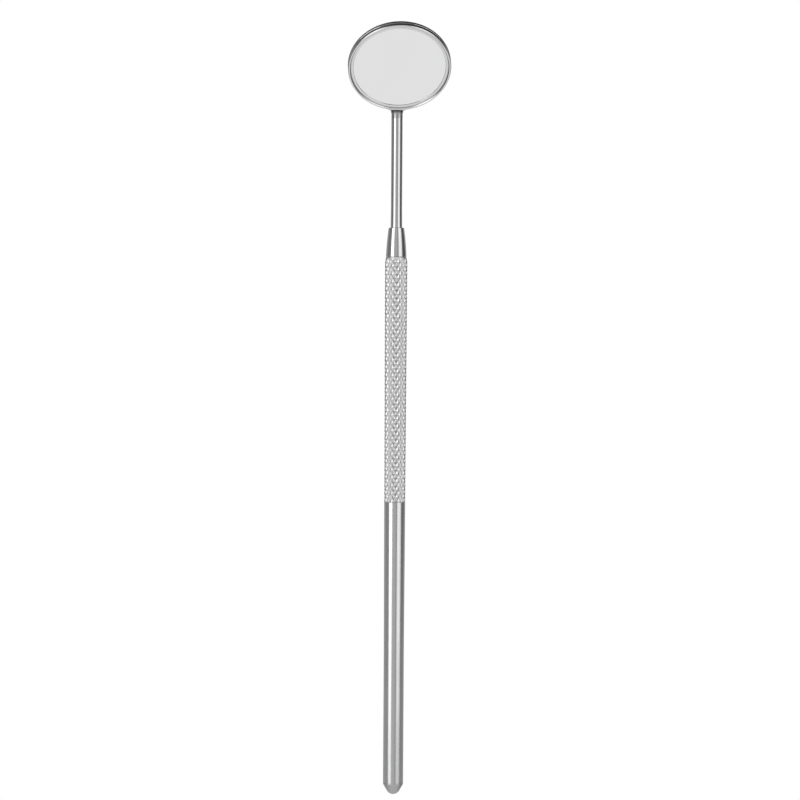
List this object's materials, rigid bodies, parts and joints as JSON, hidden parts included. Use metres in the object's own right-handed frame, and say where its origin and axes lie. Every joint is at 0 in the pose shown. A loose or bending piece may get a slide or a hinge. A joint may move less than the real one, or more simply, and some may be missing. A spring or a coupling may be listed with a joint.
{
  "type": "dental mouth mirror",
  "caption": "Hand-held inspection mirror: a round framed mirror, tilted on a thin stem, screws by a cone collar into a knurled bar handle.",
  "frame": {"origin": "on the handle's axis at the middle of the knurled grip, where the hand or a stand holds it", "axes": "+Z along the handle's axis towards the mirror, -Y the side that the mirror faces, +X across"},
  "size_m": [0.022, 0.0178, 0.1648],
  "materials": {
    "handle_steel": "polished",
    "collar_steel": "polished",
    "stem_steel": "polished",
    "solder": "satin",
    "pressed_steel": "polished",
    "pad": "matte",
    "glass": "polished",
    "mirror": "polished"
  },
  "bodies": {
    "handle": {"handle": "handle_steel"},
    "collar": {"cone_collar": "collar_steel"},
    "mirror_head": {"stem": "stem_steel", "solder_joint": "solder", "back_cup": "pressed_steel", "bezel_ring": "pressed_steel", "backing_pad": "pad", "mirror_glass": "glass", "mirror_film": "mirror"}
  },
  "joints": [
    {"name": "thread_travel", "type": "slide", "parent": "handle", "child": "collar", "axis": [0, 0, 1], "range_m": [0, 0.00562]},
    {"name": "thread_turn", "type": "hinge", "parent": "collar", "child": "mirror_head", "pos_m": [0, 0, 0.0263], "axis": [0, 0, 1], "range_deg": [0, 4500]}
  ],
  "couplings": [
    {"joint": "thread_travel", "follows": "thread_turn", "m_per_rad": 0.00007162}
  ]
}
